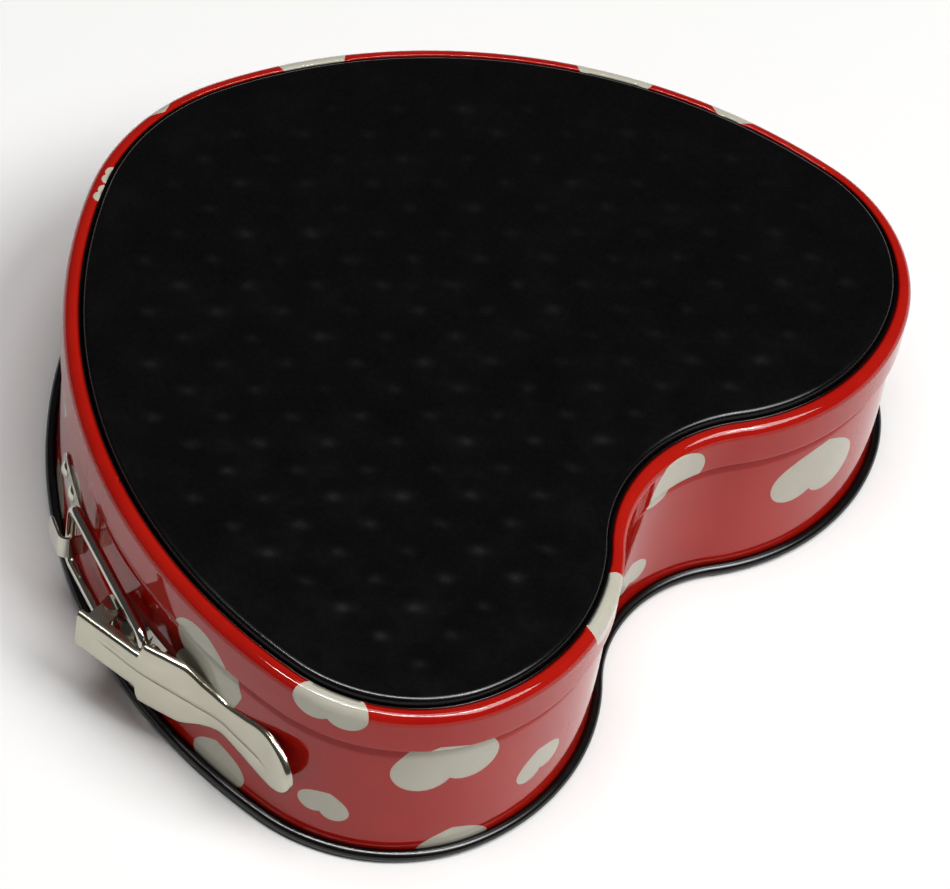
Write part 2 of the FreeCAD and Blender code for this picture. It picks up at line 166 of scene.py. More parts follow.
def outline_arcs():
    """The whole outline from the tip, anticlockwise: (centre, radius, start, sweep, side)."""
    tip = Vector((0, TIP_Y))
    lobe = Vector((LOBE_X, LOBE_Y))
    apart = lobe - tip
    reach = apart.length
    along = (((SIDE_R - TIP_R) ** 2 - (SIDE_R - LOBE_R) ** 2) / reach + reach) / 2
    across = math.sqrt((SIDE_R - TIP_R) ** 2 - along ** 2)
    axis = apart / reach
    side = tip + axis * along + Vector((-axis.y, axis.x)) * across
    crown = polar(lobe, LOBE_R - CROWN_R, LOBE_TURN)
    notch = Vector((0, crown.y + math.sqrt((CROWN_R + NOTCH_R) ** 2 - crown.x ** 2)))
    tip_end = heading(tip - side)
    side_end = heading(lobe - side)
    crown_end = heading(notch - crown)
    right = [
        (tip, TIP_R, -90.0, tip_end + 90.0, 1),
        (side, SIDE_R, tip_end, side_end - tip_end, 1),
        (lobe, LOBE_R, side_end, LOBE_TURN - side_end, 1),
        (crown, CROWN_R, LOBE_TURN, crown_end - LOBE_TURN, 1),
        (notch, NOTCH_R, crown_end - 180.0, -(90.0 - (180.0 - crown_end)), -1),
    ]
    left = []
    for centre, radius, start, sweep, sign in reversed(right):
        left.append((Vector((-centre.x, centre.y)), radius, 180.0 - start - sweep, sweep, sign))
    return right + left


ARCS = outline_arcs()
ARC_LENGTHS = [radius * math.radians(abs(sweep)) for _, radius, _, sweep, _ in ARCS]
ARC_STARTS = [sum(ARC_LENGTHS[:k]) for k in range(len(ARCS))]
AROUND = sum(ARC_LENGTHS)
SIDE_END_S = ARC_STARTS[2]
FLEX_S = AROUND - SIDE_END_S
SEAM_S = FLEX_S - SEAM_BEFORE


def outline_at(s):
    """Centre, radius, angle and side of the outline at s."""
    s = s % AROUND
    k = max(index for index, start in enumerate(ARC_STARTS) if start <= s + ROUNDING)
    centre, radius, start, sweep, side = ARCS[k]
    share = (s - ARC_STARTS[k]) / ARC_LENGTHS[k]
    return centre, radius, start + sweep * share, side


def outward(s):
    """Direction away from the tin at s."""
    _, _, angle, side = outline_at(s)
    direction = polar((0, 0), side, angle)
    return Vector((direction.x, direction.y, 0))


def on_wall(s, u, z=0.0):
    """The point at s along the outline, u outward of it and z up."""
    centre, radius, angle, side = outline_at(s)
    spot = polar(centre, radius + side * u, angle)
    return Vector((spot.x, spot.y, z))


def columns(s_from, s_to):
    """Places along the outline, closer together where it is tighter."""
    marks = {s_from, s_to}
    for lap in (0, 1):
        for k, start in enumerate(ARC_STARTS):
            steps = max(2, round(ARC_LENGTHS[k] / min(COLUMN_STEP, ARCS[k][1] * COLUMN_TURN)))
            for i in range(steps):
                marks.add(start + lap * AROUND + ARC_LENGTHS[k] * i / steps)
    inside = sorted(mark for mark in marks if s_from <= mark <= s_to)
    kept = [inside[0]]
    for mark in inside[1:]:
        if mark - kept[-1] > LEAST_COLUMN:
            kept.append(mark)
    kept[-1] = s_to
    return kept


# --- Sections of the sheets -----------------------------------------------------------------------
def rounded(points, radii, step=11.0, longest=4.5):
    """Samples (place, direction) along a 2-D path whose corners are rounded.

    step is the turn between samples in degrees, longest the straight distance between them.
    """
    samples = []

    def add(place, direction):
        if not samples or (place - samples[-1][0]).length > SAME_SAMPLE:
            samples.append((place, direction))

    points = [Vector(point) for point in points]
    runs = [(after - before).normalized() for before, after in zip(points, points[1:])]
    last = points[0]
    for k in range(len(runs)):
        run = runs[k]
        final = points[k + 1]
        if k + 1 < len(runs):
            turn = run.angle(runs[k + 1])
            trim = radii[k] * math.tan(turn / 2)
            final = points[k + 1] - run * trim
        pieces = max(1, math.ceil((final - last).length / longest))
        for i in range(pieces + 1):
            add(last.lerp(final, i / pieces), run)
        if k + 1 < len(runs):
            after = runs[k + 1]
            sign = 1 if run.cross(after) > 0 else -1
            normal = Vector((-run.y, run.x)) * sign
            centre = final + normal * radii[k]
            bends = max(2, math.ceil(math.degrees(turn) / step))
            for i in range(1, bends + 1):
                angle = turn * i / bends * sign
                arm = Matrix.Rotation(angle, 2) @ (-normal * radii[k])
                add(centre + arm, Matrix.Rotation(angle, 2) @ run)
            last = points[k + 1] + after * trim
    return samples


def band_profile():
    """From the rim's inner edge over the rim, down the wall and round the rolled bead."""
    rim_z, bead_z = RIM_Z - SHEET / 2, BEAD_R + SHEET / 2
    path = [(0.0, rim_z), (SKIRT_U, rim_z), (SKIRT_U, STEP_Z + STEP_H), (CREASE_U, STEP_Z),
            (WALL_U, STEP_Z - CREASE_RUN), (WALL_U, bead_z)]
    samples = rounded(path, [RIM_R, STEP_R, CREASE_R, TOE_R])
    centre = Vector((WALL_U + BEAD_R, bead_z))
    for i in range(1, BEAD_STEPS + 1):
        angle = 180.0 + (BEAD_END - 180.0) * i / BEAD_STEPS
        samples.append((polar(centre, BEAD_R, angle), polar((0, 0), 1, angle + 90)))
    return samples


def plate_profile():
    """From the flat field down the shoulder, out under the rim and down the flange."""
    top_z = PLATEAU_Z - PLATE / 2 - BUMP_H
    path = [(FIELD_U, top_z), (SHOULDER_U[0], top_z), (SHOULDER_U[1], SHELF_Z), (PLATE_U, SHELF_Z),
            (PLATE_U, FLANGE_Z)]
    return rounded(path, [SHOULDER_R, SHELF_R, FLANGE_R])


class Section:
    """A sheet's section: two faces on either side of a path, by distance t along it."""

    def __init__(self, samples, thickness):
        self.rows = []
        t = 0.0
        for k, (place, direction) in enumerate(samples):
            if k:
                t += (place - samples[k - 1][0]).length
            self.rows.append((t, place, Vector((-direction.y, direction.x))))
        self.half = thickness / 2
        self.ts = [row[0] for row in self.rows]

    def at(self, t, face):
        """Place and normal of one face: +1 is the left side of the path, -1 the right."""
        t = min(max(t, self.ts[0]), self.ts[-1])
        k = 0
        while k < len(self.ts) - 2 and self.ts[k + 1] < t:
            k += 1
        share = (t - self.ts[k]) / (self.ts[k + 1] - self.ts[k])
        ends = []
        for _, place, left in (self.rows[k], self.rows[k + 1]):
            ends.append(place + left * self.half * face)
        normal = self.rows[k][2].lerp(self.rows[k + 1][2], share).normalized() * face
        return ends[0].lerp(ends[1], share), normal

    def t_at_height(self, z):
        """Distance along the path down to height z on the wall."""
        for (t0, p0, _), (t1, p1, _) in zip(self.rows, self.rows[1:]):
            if p0.y >= z > p1.y and p1.x > RIM_TOP_U:
                return t0 + (t1 - t0) * (p0.y - z) / (p0.y - p1.y)
        return self.ts[-1]


# --- Meshes ---------------------------------------------------------------------------------------
class Shell:
    """Faces with their own corner normals, gathered into one mesh."""

    def __init__(self):
        self.verts = []
        self.faces = []
        self.normals = []
        self.slots = []

    def vert(self, point):
        """Adds a vertex and returns its index."""
        self.verts.append(to_metres(point))
        return len(self.verts) - 1

    def face(self, corners, normals, slot=0):
        """Adds a face, unless fewer than three different corners are left of it."""
        kept = [k for k in range(len(corners)) if corners[k] != corners[k - 1]]
        if len(kept) < 3:
            return
        self.faces.append([corners[k] for k in kept])
        self.normals.append([normals[k] for k in kept])
        self.slots.append(slot)

    def build(self, name, materials):
        """The mesh as an object in the scene."""
        mesh = bpy.data.meshes.new(name)
        mesh.from_pydata(self.verts, [], self.faces)
        for material in materials:
            mesh.materials.append(material)
        mesh.polygons.foreach_set("use_smooth", [True] * len(self.faces))
        mesh.polygons.foreach_set("material_index", self.slots)
        mesh.normals_split_custom_set([normal for face in self.normals for normal in face])
        made = bpy.data.objects.new(name, mesh)
        bpy.context.scene.collection.objects.link(made)
        return made


def lifted(s, pair):
    """A section's place and normal, stood on the outline at s."""
    place, normal = pair
    out = outward(s)
    return on_wall(s, place.x, place.y), out * normal.x + Vector((0, 0, normal.y))


def grid_face(shell, section, marks, face, slot, closed=False):
    """One face of a swept sheet as a grid of quads. Returns the vertex of each place."""
    grid = []
    for s in marks:
        line = []
        for t in section.ts:
            place, normal = lifted(s, section.at(t, face))
            line.append((shell.vert(place), normal))
        grid.append(line)
    ring = list(range(len(marks)))
    pairs = list(zip(ring, ring[1:]))
    if closed:
        pairs.append((ring[-1], 0))
    for i, j in pairs:
        for k in range(len(section.ts) - 1):
            corners = [grid[i][k], grid[i][k + 1], grid[j][k + 1], grid[j][k]]
            if face < 0:
                corners.reverse()
            shell.face([c[0] for c in corners], [c[1] for c in corners], slot)
    return grid


def zipper(shell, near, far, normal_of, slot, flip):
    """Strip between two rows of (position, vertex), which may have different spacings."""
    i = j = 0
    while i < len(near) - 1 or j < len(far) - 1:
        advance_near = j == len(far) - 1 or (i < len(near) - 1 and near[i + 1][0] <= far[j + 1][0])
        if advance_near:
            corners = [near[i], near[i + 1], far[j]]
            i += 1
        else:
            corners = [near[i], far[j + 1], far[j]]
            j += 1
        if flip:
            corners.reverse()
        shell.face([c[1] for c in corners], [normal_of(c[0]) for c in corners], slot)


# Shape of a printed heart, as shares of its width: round lobes, curved flanks and a blunt point.
HEART_LOBE_X, HEART_LOBE_END = 0.215, -38.0         # the end of the lobe's arc in degrees
HEART_FLANK, HEART_TIP, HEART_POINT = (0.325, -0.335), (0.05, -0.435), -0.45
HEART_MIDDLE = -0.08
HEART_LOBE_STEPS, HEART_FLANK_STEPS = 14, 8


def heart_outline(s, t, width, turn):
    """Closed plump heart around (s, t). turn is the direction of its point, 90 towards the rim."""
    apart = HEART_LOBE_X * width
    radius = width / 2 - apart
    start = math.pi - math.acos(apart / radius)
    stop = math.radians(HEART_LOBE_END)
    half = []
    for k in range(HEART_LOBE_STEPS + 1):
        angle = start + (stop - start) * k / HEART_LOBE_STEPS
        half.append((apart + radius * math.cos(angle), radius * math.sin(angle)))
    last = Vector(half[-1])
    control = Vector(HEART_FLANK) * width
    tip = Vector(HEART_TIP) * width
    for k in range(1, HEART_FLANK_STEPS + 1):
        a = k / HEART_FLANK_STEPS
        half.append(tuple(last * (1 - a) ** 2 + control * 2 * a * (1 - a) + tip * a ** 2))
    half.append((0.0, HEART_POINT * width))
    ring = half + [(-x, y) for x, y in reversed(half[1:-1])]
    spin = math.radians(turn + 90)
    placed = []
    for x, y in reversed(ring):
        y -= HEART_MIDDLE * width
        placed.append(Vector((s + x * math.cos(spin) - y * math.sin(spin),
                              -t + x * math.sin(spin) + y * math.cos(spin))))
    return placed


def printed_face(shell, section, marks, hearts, slots):
    """The outer face with the hearts cut into it as faces of their own.

    Returns its vertices as (s, t, vertex).
    """
    coords = []
    edges = []
    for t in section.ts:
        first = len(coords)
        coords += [Vector((s, -t)) for s in marks]
        edges += [(k, k + 1) for k in range(first, first + len(marks) - 1)]
    wide = len(marks)
    for end in (0, wide - 1):
        for row in range(len(section.ts) - 1):
            edges.append((row * wide + end, (row + 1) * wide + end))
    loops = []
    for heart in hearts:
        first = len(coords)
        coords += heart
        loops.append(list(range(first, first + len(heart))))
    flat, _, triangles, _, _, origins = delaunay_2d_cdt(coords, edges, loops, HULL, SKIN_MERGE)
    used = {}

    def corner(index):
        if index not in used:
            s, t = flat[index].x, -flat[index].y
            place, normal = lifted(s, section.at(t, 1))
            used[index] = (shell.vert(place), normal, s, t)
        return used[index]

    for triangle, origin in zip(triangles, origins):
        middle = sum((flat[index] for index in triangle), Vector((0, 0))) / len(triangle)
        if not (marks[0] < middle.x < marks[-1] and section.ts[0] < -middle.y < section.ts[-1]):
            continue
        corners = [corner(index) for index in triangle]
        area = (flat[triangle[1]] - flat[triangle[0]]).cross(flat[triangle[2]] - flat[triangle[0]])
        if abs(area) < SLIVER_AREA:
            continue
        if area < 0:
            corners.reverse()
        shell.face([c[0] for c in corners], [c[1] for c in corners], slots[1] if origin else slots[0])
    return [(s, t, vertex) for vertex, _, s, t in used.values()]


def band_piece(s_from, s_to, hearts, closed_ends):
    """One length of the printed band, a closed sheet with its rim and rolled bead."""
    shell = Shell()
    marks = columns(s_from, s_to)
    skin = printed_face(shell, BAND, marks, hearts, (RED_SLOT, WHITE_SLOT))
    lining = grid_face(shell, BAND, marks, -1, BLACK_SLOT)
    tops = sorted((s, v) for s, t, v in skin if abs(t - BAND.ts[0]) < SAME_PLACE)
    lows = sorted((s, v) for s, t, v in skin if abs(t - BAND.ts[-1]) < SAME_PLACE)
    near_top = [(s, line[0][0]) for s, line in zip(marks, lining)]
    near_low = [(s, line[-1][0]) for s, line in zip(marks, lining)]
    left = BAND.rows[-1][2]

    def low_normal(s):
        return outward(s) * left.y - Vector((0, 0, left.x))

    zipper(shell, near_top, tops, lambda s: -outward(s), BLACK_SLOT, False)
    zipper(shell, near_low, lows, low_normal, BLACK_SLOT, True)
    for at, first in ((s_from, True), (s_to, False)):
        if at not in closed_ends:
            continue
        outer = sorted((t, v) for s, t, v in skin if abs(s - at) < SAME_PLACE)
        line = lining[0] if first else lining[-1]
        inner = [(t, place[0]) for t, place in zip(BAND.ts, line)]
        along = Vector((0, 0, 1)).cross(outward(at)) * (-1 if first else 1)
        zipper(shell, inner, outer, lambda t, way=along: way, RED_SLOT, not first)
    return shell


def wall_block(shell, s_range, u_range, z_range, slots):
    """Curved block that follows the wall, with square edges. slots: its outer side, the others."""
    marks = columns(*s_range)
    rings = []
    for s in marks:
        rings.append([shell.vert(on_wall(s, u, z)) for u, z in
                      ((u_range[0], z_range[0]), (u_range[1], z_range[0]),
                       (u_range[1], z_range[1]), (u_range[0], z_range[1]))])
    up = Vector((0, 0, 1))
    for (s0, a), (s1, b) in zip(zip(marks, rings), zip(marks[1:], rings[1:])):
        normals = {0: (-up, -up), 1: (outward(s0), outward(s1)), 2: (up, up),
                   3: (-outward(s0), -outward(s1))}
        for k in range(4):
            n = (k + 1) % 4
            first, second = normals[k]
            shell.face([a[k], b[k], b[n], a[n]], [first, second, second, first],
                       slots[0] if k == 1 else slots[1])
    for s, ring, way in ((marks[0], rings[0], -1), (marks[-1], rings[-1], 1)):
        along = Vector((0, 0, 1)).cross(outward(s)) * way
        corners = ring if way > 0 else ring[::-1]
        shell.face(corners, [along] * 4, slots[1])


BAND = Section(band_profile(), SHEET)
PLATE_SECTION = Section(plate_profile(), PLATE)
RED_SLOT, WHITE_SLOT, BLACK_SLOT = 0, 1, 2

# --- Printed hearts: place along the outline, height, width and the way the point looks -----------
# Past the foot of the rim's bend, a height counts on along the sheet, over the bend and the rim.
HEART_REACH = 0.6                   # of its width: no part of a heart is further from its middle
HEARTS = [
    (268.6, 43.5, 30.5, 104), (301.2, 23.5, 17.0, 104), (238.2, 18.6, 15.0, 76),
    (274.8, 2.5, 22.0, 95), (236.0, 65.2, 21.0, 88), (391.3, 55.0, 25.0, 118),
    (446.0, 33.5, 31.5, 78), (382.0, 17.0, 15.0, 95), (329.0, 66.5, 23.0, 92),
    (195.0, 42.0, 36.5, 4), (203.0, 8.5, 20.0, 100),
    (617.0, 66.2, 24.0, 84), (708.0, 66.6, 21.0, 98), (758.5, 62.7, 13.0, 90),
    (23.5, 69.4, 7.0, 90), (31.0, 69.4, 7.0, 80), (152.0, 40.0, 22.0, 100),
    (116.0, 33.0, 14.0, 70), (84.0, 44.0, 24.0, 96), (58.0, 17.0, 17.0, 110),
    (96.0, 9.0, 19.0, 85), (340.0, 30.0, 24.0, 84), (356.0, 7.0, 14.0, 100),
    (497.0, 12.0, 20.0, 105), (493.0, 47.0, 15.0, 80), (522.0, 27.0, 29.0, 98),
    (557.0, 50.0, 18.0, 112), (571.0, 13.0, 22.0, 80), (598.0, 33.0, 14.0, 95),
    (652.0, 22.0, 27.0, 82), (668.0, 51.0, 17.0, 100), (695.0, 12.0, 15.0, 108),
    (717.0, 36.0, 28.0, 90), (748.0, 17.0, 19.0, 76), (12.0, 40.0, 26.0, 102),
    (132.0, 12.0, 17.0, 95), (166.0, 15.0, 15.0, 84), (36.0, 8.0, 12.0, 95),
    (538.0, 65.5, 13.0, 90), (580.0, 64.0, 16.0, 84),
]


def hearts_between(s_from, s_to):
    """Hearts whose outline lies wholly within a length of the band."""
    found = []
    for s, z, width, turn in HEARTS:
        for lap in (0, AROUND):
            if s_from + width * HEART_REACH < s + lap < s_to - width * HEART_REACH:
                if z > RIM_Z - RIM_R:
                    t = RIM_Z - z + RIM_R
                else:
                    t = BAND.t_at_height(z)
                found.append(heart_outline(s + lap, t, width, turn))
    return found


# --- Materials ------------------------------------------------------------------------------------
ROUGH_SPAN, COLOUR_SPAN = (0.3, 0.7), (0.35, 0.65)  # values of a noise from which and to which they change


class Finish:
    """A principled material with object-space noises for its detail."""

    def __init__(self, name, colour, **sockets):
        self.material = bpy.data.materials.new(name)
        self.material.use_nodes = True
        self.tree = self.material.node_tree
        self.shader = self.tree.nodes["Principled BSDF"]
        self.shader.inputs["Base Color"].default_value = (*colour, 1)
        for socket, value in sockets.items():
            self.shader.inputs[socket.replace("_", " ")].default_value = value
        self.where = self.tree.nodes.new("ShaderNodeTexCoord").outputs["Object"]
        self.height = None

    def noise(self, scale, detail=2.0, roughness=0.5, stretch=None):
        """A cloudy value around 0.5, with scale in clouds per metre."""
        place = self.where
        if stretch:
            mapping = self.tree.nodes.new("ShaderNodeMapping")
            mapping.inputs["Scale"].default_value = stretch
            self.tree.links.new(place, mapping.inputs["Vector"])
            place = mapping.outputs["Vector"]
        node = self.tree.nodes.new("ShaderNodeTexNoise")
        node.inputs["Scale"].default_value = scale
        node.inputs["Detail"].default_value = detail
        node.inputs["Roughness"].default_value = roughness
        self.tree.links.new(place, node.inputs["Vector"])
        return node.outputs["Fac"]

    def ramp(self, value, low, high, start, end):
        """A value from low to high, mapped onto start to end."""
        node = self.tree.nodes.new("ShaderNodeMapRange")
        for name, number in (("From Min", low), ("From Max", high), ("To Min", start), ("To Max", end)):
            node.inputs[name].default_value = number
        self.tree.links.new(value, node.inputs["Value"])
        return node.outputs["Result"]

    def colours(self, value, first, second):
        """Blends two base colours by a value."""
        node = self.tree.nodes.new("ShaderNodeValToRGB")
        for element, at, colour in zip(node.color_ramp.elements, COLOUR_SPAN, (first, second)):
            element.position = at
            element.color = (*colour, 1)
        self.tree.links.new(value, node.inputs["Fac"])
        self.tree.links.new(node.outputs["Color"], self.shader.inputs["Base Color"])

    def roughness(self, value, start, end):
        """Varies the roughness from start to end by a value."""
        self.tree.links.new(self.ramp(value, *ROUGH_SPAN, start, end), self.shader.inputs["Roughness"])

    def bump(self, value, distance):
        """Adds relief of a height in millimetres on top of the bumps so far."""
        node = self.tree.nodes.new("ShaderNodeBump")
        node.inputs["Distance"].default_value = distance * MM
        self.tree.links.new(value, node.inputs["Height"])
        if self.height:
            self.tree.links.new(self.height, node.inputs["Normal"])
        self.height = node.outputs["Normal"]
        self.tree.links.new(self.height, self.shader.inputs["Normal"])


def lacquered(name, plain, mottling, first, second, gloss):
    """Colour under a hard lacquer: slight mottling, orange peel and a high gloss.

    mottling is the scale, detail and roughness of its noise, gloss the range of the roughness.
    """
    finish = Finish(name, plain, IOR=1.5, Specular_IOR_Level=0.30)
    finish.colours(finish.noise(*mottling), first, second)
    finish.roughness(finish.noise(scale=60, detail=5, roughness=0.6), *gloss)
    finish.bump(finish.noise(scale=420, detail=2), distance=0.003)
    finish.bump(finish.noise(scale=36, detail=1), distance=0.02)
    return finish.material


def enamel():
    """Deep red lacquer."""
    return lacquered("red_enamel", plain=(0.36, 0.006, 0.003), mottling=(26, 4, 0.6),
                     first=(0.325, 0.0050, 0.0022), second=(0.365, 0.0080, 0.0035), gloss=(0.035, 0.07))


def print_white():
    """The hearts' off-white print, under the same lacquer."""
    return lacquered("heart_print", plain=(0.52, 0.50, 0.42), mottling=(40, 5, 0.6),
                     first=(0.42, 0.40, 0.325), second=(0.46, 0.44, 0.365), gloss=(0.045, 0.09))


def nonstick(name, gloss, level):
    """Black non-stick coating: a fine grain, tiny pinholes and satin gloss."""
    finish = Finish(name, (0.002, 0.0017, 0.0018), IOR=1.5, Specular_IOR_Level=level)
    grain = finish.noise(scale=900, detail=2)
    finish.colours(grain, first=(0.0009, 0.0007, 0.0008), second=(0.0018, 0.0015, 0.0016))
    finish.roughness(finish.noise(scale=70, detail=4, roughness=0.6), gloss, gloss + 0.1)
    finish.bump(finish.noise(scale=1500, detail=3, roughness=0.6), distance=0.006)
    finish.bump(finish.noise(scale=55, detail=2), distance=0.04)
    return finish.material


def nickel(name, gloss, first, second, grain):
    """Bright nickel plate: faint polishing lines, cloudy patches and a warm tint."""
    finish = Finish(name, first, Metallic=1.0)
    finish.colours(finish.noise(scale=60, detail=3, roughness=0.55), first, second)
    finish.roughness(finish.noise(scale=120, detail=5, roughness=0.65), gloss, gloss + 0.07)
    lines = finish.noise(scale=900, detail=3, roughness=0.6, stretch=(1.0, 0.12, 1.0))
    finish.bump(lines, distance=grain)
    finish.bump(finish.noise(scale=45, detail=1), distance=5 * grain)
    return finish.material


def steel_wire():
    """Plain drawn wire, dull and a little uneven."""
    finish = Finish("steel_wire", (0.45, 0.44, 0.43), Metallic=1.0)
    patches = finish.noise(scale=200, detail=4, roughness=0.6)
    finish.colours(patches, first=(0.36, 0.35, 0.34), second=(0.50, 0.49, 0.48))
    finish.roughness(finish.noise(scale=260, detail=4, roughness=0.6), start=0.28, end=0.42)
    finish.bump(finish.noise(scale=900, detail=2), distance=0.01)
    return finish.material


RED = enamel()
WHITE = print_white()
BLACK = nonstick("black_nonstick", gloss=0.18, level=0.4)
PLATE_BLACK = nonstick("plate_nonstick", gloss=0.16, level=0.28)
NICKEL = nickel("nickel_plate", gloss=0.05, first=(0.50, 0.48, 0.42), second=(0.57, 0.55, 0.48),
                grain=0.0012)
LEVER_NICKEL = nickel("lever_nickel", gloss=0.16, first=(0.43, 0.41, 0.33),
                      second=(0.48, 0.46, 0.375), grain=0.002)
WIRE = steel_wire()


# --- Side band ------------------------------------------------------------------------------------
def add_band():
    """The band in two meshes, parted at the clasp. The second runs on round the far lobe and is not tied to
    a body.
    """
    clasp = band_piece(SPLIT_S, SEAM_S, hearts_between(SPLIT_S, SEAM_S), (SPLIT_S,))
    root_s = (TONGUE_S[1] - TONGUE_ROOT, TONGUE_S[1])
    wall_block(clasp, TONGUE_S, TONGUE_U, TONGUE_Z, (RED_SLOT, BLACK_SLOT))
    wall_block(clasp, root_s, (TONGUE_U[0], WALL_U), TONGUE_Z, (RED_SLOT, BLACK_SLOT))
    clasp = clasp.build("band_clasp_side", [RED, WHITE, BLACK])
    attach(clasp, "tin")
    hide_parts("side_band_clasp_half")
    end = AROUND + SPLIT_S - END_GAP
    hook = band_piece(SEAM_S, end, hearts_between(SEAM_S, end), (end,))
    hook = hook.build("band_hook_side", [RED, WHITE, BLACK])
    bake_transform(hook)
    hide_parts("side_band_hook_half")


# --- Base plate -----------------------------------------------------------------------------------
def inside_outline(x, y, edge):
    """Whether a point is inside a closed polygon."""
    odd = False
    for (ax, ay), (bx, by) in zip(edge, edge[1:] + edge[:1]):
        if (ay > y) != (by > y) and x < ax + (y - ay) * (bx - ax) / (by - ay):
            odd = not odd
    return odd


def bump_near(x, y):
    """Column and row of the bump nearest to a point."""
    turned = Matrix.Rotation(math.radians(-BUMP_TURN), 2) @ Vector((x, y))
    return (round((turned.x - BUMP_SHIFT[0]) / BUMP_PITCH[0]),
            round((turned.y - BUMP_SHIFT[1]) / BUMP_PITCH[1]))


def bump_centre(column, row):
    """Place of the bump in a column and row."""
    spot = Vector((column * BUMP_PITCH[0] + BUMP_SHIFT[0], row * BUMP_PITCH[1] + BUMP_SHIFT[1]))
    return Matrix.Rotation(math.radians(BUMP_TURN), 2) @ spot


def field_bumps(edge):
    """Centres of the bumps that fit in the field, by column and row."""
    found = {}
    for column in BUMP_COLUMNS:
        for row in BUMP_ROWS:
            spot = bump_centre(column, row)
            if inside_outline(spot.x, spot.y, edge):
                if min(math.hypot(spot.x - ex, spot.y - ey) for ex, ey in edge) >= BUMP_CLEAR:
                    found[column, row] = spot
    return found


def bump_height(x, y, centres):
    """Height of the field's face above its flat parts: a rounded bump around each centre."""
    near = bump_near(x, y)
    if near not in centres:
        return 0.0
    away = math.hypot(x - centres[near].x, y - centres[near].y)
    if away >= BUMP_R:
        return 0.0
    return BUMP_H * (0.5 + 0.5 * math.cos(math.pi * away / BUMP_R))


def bump_normal(x, y, centres):
    """Direction in which the bumped face looks."""
    e = SLOPE_STEP
    return Vector((bump_height(x - e, y, centres) - bump_height(x + e, y, centres),
                   bump_height(x, y - e, centres) - bump_height(x, y + e, centres), 2 * e)).normalized()


def field_points(edge):
    """The field's edge, followed by a square grid of places inside it."""
    points = [Vector(spot) for spot in edge]
    low_x, low_y = min(x for x, _ in edge), min(y for _, y in edge)
    high_x, high_y = max(x for x, _ in edge), max(y for _, y in edge)
    for i in range(int((high_x - low_x) / FIELD_STEP)):
        for j in range(int((high_y - low_y) / FIELD_STEP)):
            x, y = low_x + (i + 0.5) * FIELD_STEP, low_y + (j + 0.5) * FIELD_STEP
            if inside_outline(x, y, edge):
                if min(abs(x - ex) + abs(y - ey) for ex, ey in edge) > FIELD_STEP:
                    points.append(Vector((x, y)))
    return points


def add_field(shell, edge, top, under):
    """Both faces of the field, joined to the inner edges of the plate's swept rings."""
    centres = field_bumps(edge)
    ring = [(k, (k + 1) % len(edge)) for k in range(len(edge))]
    points = field_points(edge)
    flat, _, triangles, sources, _, _ = delaunay_2d_cdt(points, ring, [], INSIDE, FIELD_MERGE)
    for face, grid in ((1, top), (-1, under)):
        z = PLATEAU_Z - BUMP_H if face > 0 else PLATEAU_Z - BUMP_H - PLATE
        corner = []
        for point, source in zip(flat, sources):
            if source and source[0] < len(edge):
                vertex = grid[source[0]][0][0]
            else:
                vertex = shell.vert((point.x, point.y, z + bump_height(point.x, point.y, centres)))
            corner.append((vertex, bump_normal(point.x, point.y, centres) * face))
        for triangle in triangles:
            corners = [corner[index] for index in triangle]
            if face < 0:
                corners.reverse()
            shell.face([c[0] for c in corners], [c[1] for c in corners])


def add_base_plate():
    """Rim rings swept round the outline, and a field with pressed bumps inside them."""
    shell = Shell()
    marks = columns(0.0, AROUND)[:-1]
    top = grid_face(shell, PLATE_SECTION, marks, 1, 0, closed=True)
    under = grid_face(shell, PLATE_SECTION, marks, -1, 0, closed=True)
    down = Vector((0, 0, -1))
    for k in range(len(marks)):
        n = (k + 1) % len(marks)
        corners = [top[k][-1][0], under[k][-1][0], under[n][-1][0], top[n][-1][0]]
        shell.face(corners, [down] * 4)
    add_field(shell, [tuple(on_wall(s, FIELD_U).xy) for s in marks], top, under)
    plate = shell.build("dimpled_base_plate", [PLATE_BLACK])
    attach(plate, "tin")
    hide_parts("base_plate")


# --- Lever: plan points are (x, y) in the heart frame, half widths are (y, half width) ------------
PIVOT = joint_at("lever_swing")
BAIL_AT = joint_at("bail_swing")
LEVER_T = 1.0
BOSS_R, LIP, WEB = 3.1, 2.2, 3.6    # the side flange: round the two pins, elsewhere, between them
HEEL_HALF, WIDE_HALF = 7.4, 12.8
STEP_AT, STEP_RUN, TIP_AT = -51.8, 0.8, 4.3
LEVER_PLAN = [(133.7, -75.0), (133.9, -52.0), (129.75, -26.0), (131.8, -9.0), (135.9, TIP_AT)]
LEVER_PLAN_R = [60.0, 25.0, 40.0]
LEVER_HALF = [(-51.2, 12.6), (-45.0, 12.8), (-39.0, 12.8), (-31.0, 9.2), (-24.0, 7.1), (-16.5, 8.4),
              (-9.0, 10.0)]
SPOON_AT, SPOON_HALF = LEVER_HALF[-1]               # the spoon's round end starts at its widest
SPOON_POWER, TIP_HALF = 2.3, 0.1
LAST_STATIONS = (0.4, 0.7, 0.88, 0.97)              # shares of the last step along the lever
EDGE_R, EDGE_SHARE = 1.7, 0.55      # the curled edge, at most this share of the half width
CURL_DEPTH, CURL_STEPS = 2.04, 6
THIN_SHARE, END_WALL_POWER = 0.8, 6                 # the sheet thins, and walls off the spoon's end
END_RUN, END_DROP = 1.6, 1.0        # the outer face drops over this length at the spoon's end

